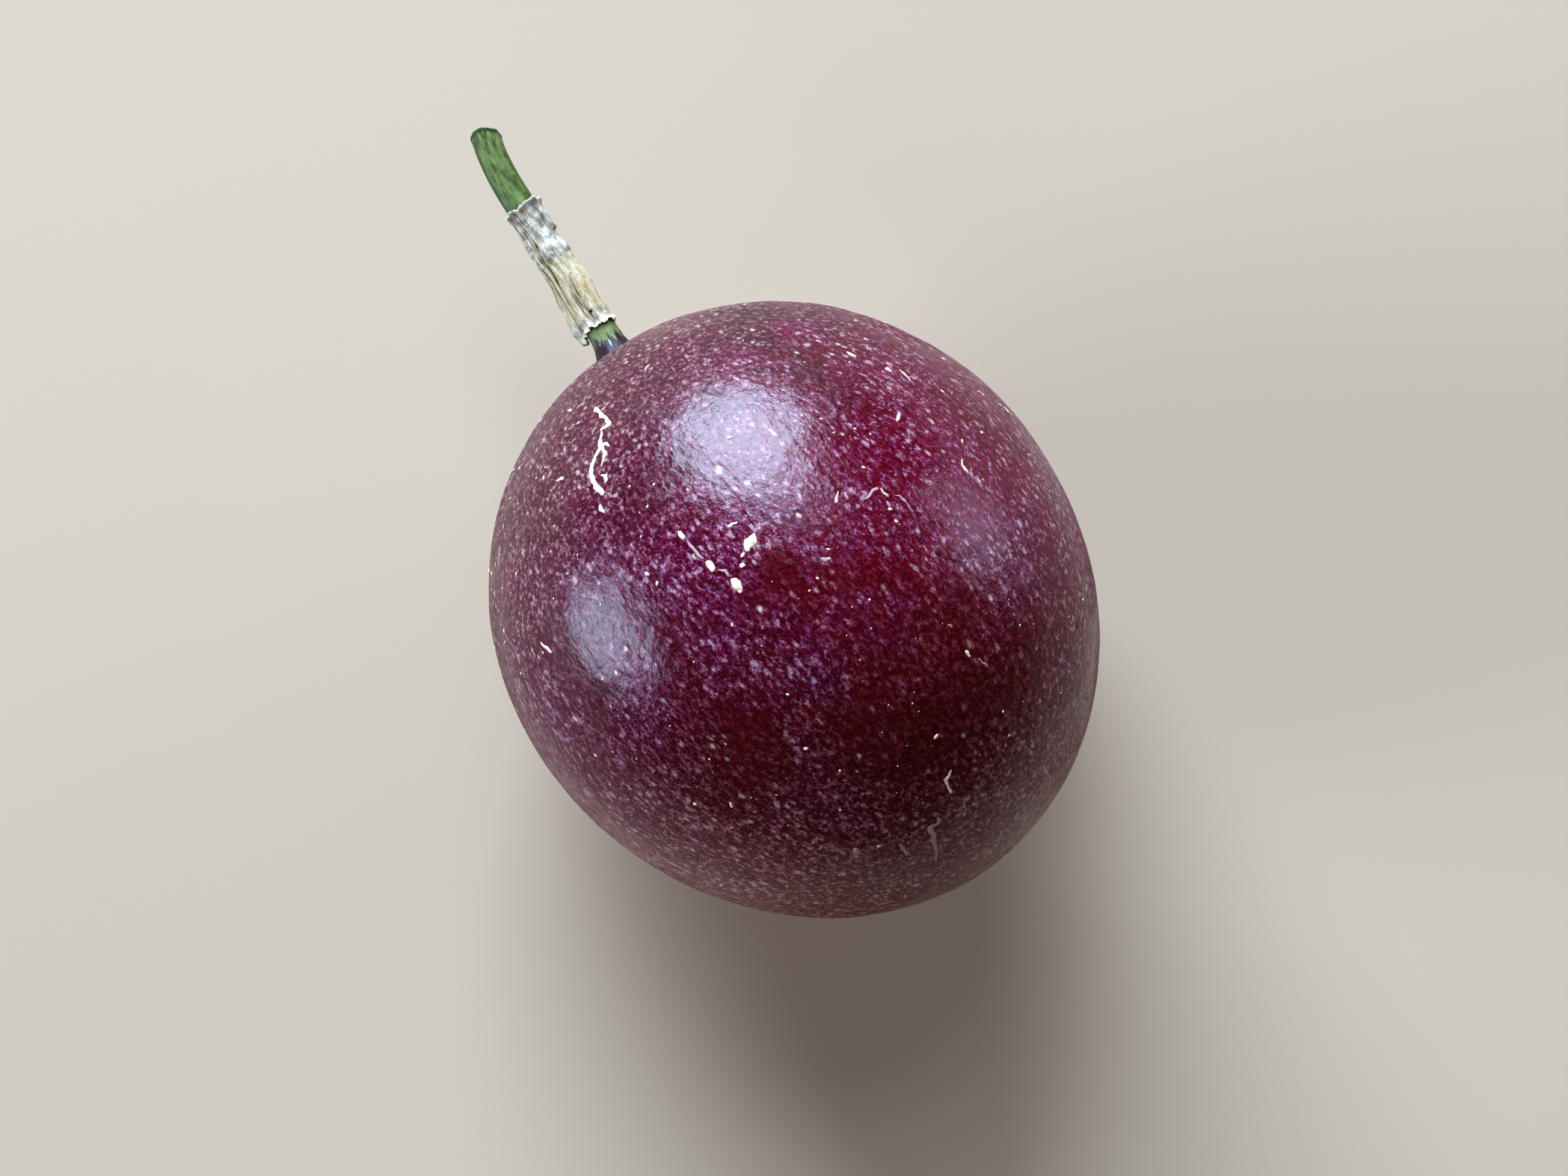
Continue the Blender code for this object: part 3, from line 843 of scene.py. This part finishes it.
stalk_mesh = tube_mesh("green_stalk", *stalk_rings(), closed_ends=True)
stalk_mesh.materials.append(stalk_finish())
keep(add_piece(stalk_mesh), "green_stalk", "stalk")


# ---------------------------------------------------------------------------------------------
# The dried sleeve: the withered tube of the flower, shrunk in lengthwise folds on to the stalk.
# It has a pale ragged collar at the peduncle with one loose flap, a knot where the petals fell,
# and a torn, puckered edge at the neck.

SLEEVE_RADIUS = 1.25 * MM
SLEEVE_WALL = 0.11 * MM
SLEEVE_SIDES = 150
SLEEVE_STEPS = 190
GROOVE_DEPTH = 0.11             # of the long groove beside the peeled strip, in mm
FLAP_LIFT = 0.24                # how far the loose flap stands off the collar, in mm
RIDGE_LIFT = 0.12               # of the short ridge on its right, in mm
BULGE_LIFT = 0.30               # of the swelling beside that ridge, in mm
HOLE_DEPTH = 0.3                # of the insect's hole near the torn end, in mm


def sleeve_bulge(share):
    """The sleeve's radius in millimetres, from its torn end at 0 to its collar at 1."""
    knot = 0.15 * hump(share, 0.62, 0.075)
    waist = -0.05 * hump(share, 0.48, 0.08) - 0.05 * hump(share, 0.8, 0.08)
    collar = 0.12 * hump(share, 1.0, 0.07)
    pucker = 0.06 * hump(share, 0.06, 0.08)
    return SLEEVE_RADIUS / MM + knot + waist + collar + pucker


def folded(turn, share, seed):
    """How far the dried wall stands in or out of its even radius, in millimetres."""
    twist = turn + 0.35 * share + 0.2 * noise.noise(Vector((share * 3, seed, 0)))
    ring = Vector((math.cos(twist), math.sin(twist), 0))
    pleat = 0.5 - abs(noise.noise(ring * 2.4 + Vector((5, 0, share * 2.0 + seed))))
    crease = 0.5 - abs(noise.noise(ring * 6.0 + Vector((0, 7, share * 5.0 + seed))))
    fibre = noise.noise(ring * 13.0 + Vector((0, 3, share * 6.0 + seed)))
    lump = noise.noise(ring * 2.6 + Vector((0, 0, share * 13.0 + seed)))
    lumpy = 0.25 + hump(share, 0.6, 0.09) + 0.7 * hump(share, 0.03, 0.09) + 0.4 * hump(share, 1.0, 0.05)
    return 0.28 * (pleat - 0.36) + 0.18 * (crease - 0.36) + 0.035 * fibre + 0.11 * lump * lumpy


def sleeve_features(turn, share):
    """The long groove, the loose flap, the ridge and swelling on the right, and the tiny hole."""
    degrees = math.degrees(turn)
    groove_at = 35 + 16 * hump(share, 0.72, 0.2)
    features = -GROOVE_DEPTH * hump(degrees, groove_at, 3.5) * eased((share - 0.02) / 0.1)
    flap_edge = 112 + 190 * (1 - share)
    flap = eased((degrees - flap_edge) / 5) * eased((182 - degrees) / 12) * eased((share - 0.745) / 0.03)
    features += FLAP_LIFT * flap * (1.25 - 0.8 * eased((share - 0.8) / 0.2))
    features += RIDGE_LIFT * hump(degrees, 152, 9) * hump(share, 0.3, 0.16)
    features += BULGE_LIFT * hump(degrees, 180, 38) * hump(share, 0.34, 0.2)
    across = math.radians(degrees - 96) * SLEEVE_RADIUS / MM
    along = (share - 0.11) * SLEEVE_LENGTH / MM
    return features - HOLE_DEPTH * hump(math.hypot(across, along), 0, 0.09)


def sleeve_height(turn, share):
    """How far the sleeve stands in or out of its even radius, in millimetres."""
    return folded(turn, share, 1.0) + sleeve_features(turn, share)


def sleeve_rings():
    """The sleeve's wall from its torn end to its collar, with both edges ragged and curled out."""
    rings = []
    distances = []
    for step in range(SLEEVE_STEPS + 1):
        share = step / SLEEVE_STEPS
        ring = []
        for index in range(SLEEVE_SIDES):
            turn = 2 * math.pi * index / SLEEVE_SIDES
            circle = Vector((math.cos(turn), math.sin(turn), 0))
            tear = noise.noise(circle * 3.0 + Vector((0, 0, 3))) + 0.8 * noise.noise(circle * 6)
            lip = noise.noise(circle * 2.0 + Vector((0, 0, 8))) + 0.5 * noise.noise(circle * 5)
            start = NECK_LENGTH + 0.26 * MM * tear
            end = NECK_LENGTH + SLEEVE_LENGTH + 0.30 * MM * lip
            curl = (0.24 + 0.2 * lip) * hump(share, 1.0, 0.028)
            curl += (0.16 + 0.2 * tear) * hump(share, 0.0, 0.025)
            radius = (sleeve_bulge(share) + sleeve_height(turn, share) + curl) * MM
            ring.append(beside_stalk(start + (end - start) * share, turn, radius))
        rings.append(ring)
        distances.append(share * SLEEVE_LENGTH)
    return rings, distances


def mark_hollows(mesh, sides, steps, height_at):
    """Stores how deep in a fold each point lies, from 0 on a crest to 1 in a groove."""
    hollows = []
    for step in range(steps + 1):
        for index in range(sides):
            height = height_at(2 * math.pi * index / sides, step / steps)
            hollows.append(min(max((0.02 - height) / 0.2, 0.0), 1.0))
    hollows += [0.0] * (len(mesh.vertices) - len(hollows))
    mesh.attributes.new("hollow", "FLOAT", "POINT").data.foreach_set("value", hollows)


def sleeve_finish():
    """Grey-white and tan dry tissue, brown along its fibres, with painted shade darkening its folds."""
    material, tree, shader, place = new_material("dried_tissue", 0.82)
    fibre, along = around_and_along(tree, 1.3, 0.3)
    streak = grain(tree, fibre, 2.4, 6.0, 0.65)
    line = grain(tree, fibre, 6.5, 4.0, 0.6)
    mottle = grain(tree, place, 1.5, 5.0, 0.62)

    # It is tan and streaked in its lower part, mottled grey above the knot and at its torn end.
    tan = blended(tree, rise(tree, streak, 0.38, 0.62), (0.72, 0.62, 0.46, 1), (0.54, 0.42, 0.25, 1))
    grey = blended(tree, rise(tree, mottle, 0.40, 0.62), (0.70, 0.62, 0.52, 1), (0.35, 0.29, 0.23, 1))
    end = SLEEVE_LENGTH / MM
    uneven = calc(tree, "MULTIPLY_ADD", mottle, 3.0, along)
    upper = rise(tree, uneven, 0.5 * end + 1.5, 0.62 * end + 1.5)
    puckered = rise(tree, calc(tree, "MULTIPLY_ADD", mottle, 1.5, along), 1.6, 2.6, 0.7, 0.0)
    colour = blended(tree, calc(tree, "MAXIMUM", upper, puckered), tan, grey)
    thread = rise(tree, line, 0.55, 0.68, 0.0, 0.5)
    colour = blended(tree, thread, colour, (0.36, 0.26, 0.15, 1))
    stain = rise(tree, grain(tree, place, 0.55, 2.0, 0.5), 0.56, 0.68, 0.0, 0.5)
    colour = blended(tree, stain, colour, (0.50, 0.31, 0.12, 1))
    off_crack = calc(tree, "SUBTRACT", grain(tree, fibre, 2.0, 1.0, 0.4), 0.52)
    crack = rise(tree, calc(tree, "ABSOLUTE", off_crack), 0.0, 0.025, 0.65, 0.0)
    crack = calc(tree, "MULTIPLY", crack, rise(tree, mottle, 0.42, 0.55))
    colour = blended(tree, crack, colour, (0.20, 0.13, 0.07, 1))
    from_waist = calc(tree, "ABSOLUTE", calc(tree, "SUBTRACT", along, end / 2))
    rims = rise(tree, from_waist, end / 2 - 0.3, end / 2, 0.0, 0.9)
    colour = blended(tree, rims, colour, (0.84, 0.78, 0.62, 1))

    # Painted shade: the folds are darkened brown by their depth, and the deepest of them nearly black.
    hollow = add_node(tree, "ShaderNodeAttribute", attribute_name="hollow").outputs["Fac"]
    colour = blended(tree, rise(tree, hollow, 0.35, 0.95, 0.0, 0.7), colour, (0.28, 0.19, 0.1, 1))
    colour = blended(tree, rise(tree, hollow, 0.95, 1.0), colour, (0.07, 0.045, 0.025, 1))
    tree.links.new(colour, shader.inputs["Base Color"])
    height = calc(tree, "MULTIPLY_ADD", line, 0.8, calc(tree, "MULTIPLY", mottle, 0.6))
    add_relief(tree, shader, height, 0.12 * MM)
    shader.inputs["Specular IOR Level"].default_value = 0.25
    return material


dry_tissue = sleeve_finish()
sleeve_mesh = tube_mesh("sleeve_wall", *sleeve_rings(), closed_ends=False)
mark_hollows(sleeve_mesh, SLEEVE_SIDES, SLEEVE_STEPS, sleeve_height)
sleeve_mesh.materials.append(dry_tissue)
sleeve_wall = add_piece(sleeve_mesh)
wall = sleeve_wall.modifiers.new("wall", "SOLIDIFY")
wall.thickness = SLEEVE_WALL
wall.offset = -1
keep(sleeve_wall, "dried_tissue", "dried_sleeve")


# ---------------------------------------------------------------------------------------------
# The peeled strip: a sliver of the sleeve's side that has split off it. It is still joined near
# the collar, runs beside the sleeve, and splays out past the torn end.

STRIP_SIDES = 40
STRIP_STEPS = 150
STRIP_WIDTH = 1.05 * MM
STRIP_THICKNESS = 0.34 * MM
STRIP_CUPPING = 0.22 * MM       # how far its long edges curl outwards and down


def strip_height(turn, share):
    """The strip's own folds, in millimetres."""
    return folded(turn, share * 1.2, 4.0)


def strip_rings():
    """The strip from where it is joined to its free end: flat, hollow-backed, turning as it goes."""
    joined_at = NECK_LENGTH + 0.97 * SLEEVE_LENGTH
    free_end = NECK_LENGTH - 0.045 * SLEEVE_LENGTH
    rings = []
    distances = []
    for step in range(STRIP_STEPS + 1):
        share = step / STRIP_STEPS
        distance = joined_at + (free_end - joined_at) * share
        out = 1.04 + 0.50 * eased((share - 0.4) / 0.6)
        out += 0.06 * noise.noise(Vector((share * 6, 3, 3)))
        drop = -0.05 + 0.15 * share + 0.1 * noise.noise(Vector((share * 5, 6, 3)))
        narrow = 0.45 + 0.55 * eased(share / 0.35) - 0.35 * eased((share - 0.9) / 0.1)
        width = STRIP_WIDTH / 2 * narrow * (1 + 0.25 * noise.noise(Vector((share * 10, 1, 1))))
        lean = math.radians(62 - 34 * share) + 0.5 * noise.noise(Vector((share * 3, 8, 2)))
        closing = 0.2 if step in (0, STRIP_STEPS) else 1.0
        ring = []
        for index in range(STRIP_SIDES):
            turn = 2 * math.pi * index / STRIP_SIDES
            rough = 1 + strip_height(turn, share)
            wide = math.cos(turn) * width * closing * rough
            thick = math.sin(turn) * STRIP_THICKNESS / 2 * closing * rough
            thick -= STRIP_CUPPING * math.cos(turn) ** 2
            sideways = out * MM + wide * math.cos(lean) - thick * math.sin(lean)
            upwards = -drop * MM + wide * math.sin(lean) + thick * math.cos(lean)
            ragged = 0.25 * MM * noise.noise(Vector((math.cos(turn) * 3, math.sin(turn) * 3, 5)))
            place = distance + ragged * eased((share - 0.85) / 0.15)
            bearing = math.atan2(upwards, sideways)
            ring.append(beside_stalk(place, bearing, math.hypot(upwards, sideways)))
        rings.append(ring)
        distances.append(distance - NECK_LENGTH)
    return rings, distances


strip_mesh = tube_mesh("peeled_strip", *strip_rings(), closed_ends=True)
mark_hollows(strip_mesh, STRIP_SIDES, STRIP_STEPS, strip_height)
strip_mesh.materials.append(dry_tissue)
keep(add_piece(strip_mesh), "dried_tissue", "dried_sleeve")


# ---------------------------------------------------------------------------------------------
# The studio: a plain pale floor, five broad soft lamps round it, and a camera that looks
# straight down on the fruit. None of it is part of the object.

CAMERA_HEIGHT = 215 * MM        # above the fruit's middle
FRUIT_SHARE = 0.3893            # the fruit's mean width as a share of the view's
FRUIT_RIGHT = 0.00815           # where its middle is, right of and below the view's middle
FRUIT_BELOW = 0.01426
CAMERA_ROLL = math.radians(-132.4)
SENSOR_WIDTH = 36               # of the camera, in mm
FLOOR_SIZE = 3.0
FLOOR_GAP = 0.02 * MM           # keeps the floor clear of the resting spot
LIGHT_DISTANCE = 1.5

floor_mesh = bpy.data.meshes.new("floor")
half_floor = FLOOR_SIZE / 2
floor_corners = [(-1, -1), (1, -1), (1, 1), (-1, 1)]
floor_places = [(x * half_floor, y * half_floor, -FLOOR_GAP) for x, y in floor_corners]
floor_mesh.from_pydata(floor_places, [], [(0, 1, 2, 3)])
floor_paint, _, floor_shader, _ = new_material("pale_floor", 0.9)
floor_shader.inputs["Base Color"].default_value = (0.65, 0.50, 0.37, 1)
floor_mesh.materials.append(floor_paint)
add_piece(floor_mesh)

camera_data = bpy.data.cameras.new("camera")
camera = bpy.data.objects.new("camera", camera_data)
bpy.context.scene.collection.objects.link(camera)
view_width = (FRUIT_LENGTH + FRUIT_WIDTH) / 2 / FRUIT_SHARE
camera_data.sensor_width = SENSOR_WIDTH
camera_data.lens = SENSOR_WIDTH * CAMERA_HEIGHT / view_width
camera_data.clip_start = 0.01
view_right = Vector((math.cos(CAMERA_ROLL), math.sin(CAMERA_ROLL), 0))
view_up = Vector((-math.sin(CAMERA_ROLL), math.cos(CAMERA_ROLL), 0))
aim = fruit_middle - view_right * FRUIT_RIGHT * view_width + view_up * FRUIT_BELOW * view_width
camera.location = aim + Vector((0, 0, CAMERA_HEIGHT))
camera.rotation_euler = (0, 0, CAMERA_ROLL)
bpy.context.scene.camera = camera


def add_soft_light(name, bearing, elevation, width, height, radiance, colour):
    """An oval soft light at a bearing round the view, in degrees from its right-hand side."""
    light = bpy.data.lights.new(name, "AREA")
    light.shape = "ELLIPSE"
    light.size = width
    light.size_y = height
    light.energy = radiance * math.pi * math.pi / 4 * width * height
    light.color = colour
    turn = math.radians(bearing)
    climb = math.radians(elevation)
    flat = view_right * math.cos(turn) + view_up * math.sin(turn)
    way = flat * math.cos(climb) + Vector((0, 0, math.sin(climb)))
    lamp = bpy.data.objects.new(name, light)
    lamp.location = fruit_middle + way * LIGHT_DISTANCE
    lamp.rotation_euler = (-way).to_track_quat("-Z", "Y").to_euler()
    bpy.context.scene.collection.objects.link(lamp)
    return lamp


WINDOW_BLUE = (0.61, 0.80, 1.0)
ROOM_LIGHT = (1.0, 0.95, 0.92, 1)
ROOM_BRIGHTNESS = 0.07
add_soft_light("key", 105, 24.5, 1.15, 1.27, 12.0, WINDOW_BLUE)
add_soft_light("upper", 94, 50, 0.9, 0.6, 3.8, WINDOW_BLUE)
add_soft_light("side", 190, 18, 0.85, 0.80, 7.2, WINDOW_BLUE)
add_soft_light("far_side", 27, 12, 0.8, 0.8, 2.7, (0.72, 0.79, 1.0))
low_fill = add_soft_light("low_fill", 250, 8, 2.4, 1.2, 0.68, (1.0, 0.86, 0.92))
low_fill.visible_glossy = False  # it lifts the shaded side without a mirror image of itself

world = bpy.data.worlds.new("studio")
world.use_nodes = True
room = world.node_tree.nodes["Background"]
room.inputs["Color"].default_value = ROOM_LIGHT
room.inputs["Strength"].default_value = ROOM_BRIGHTNESS
bpy.context.scene.world = world
bpy.context.scene.view_settings.view_transform = "Standard"
bpy.context.scene.view_settings.look = "High Contrast"
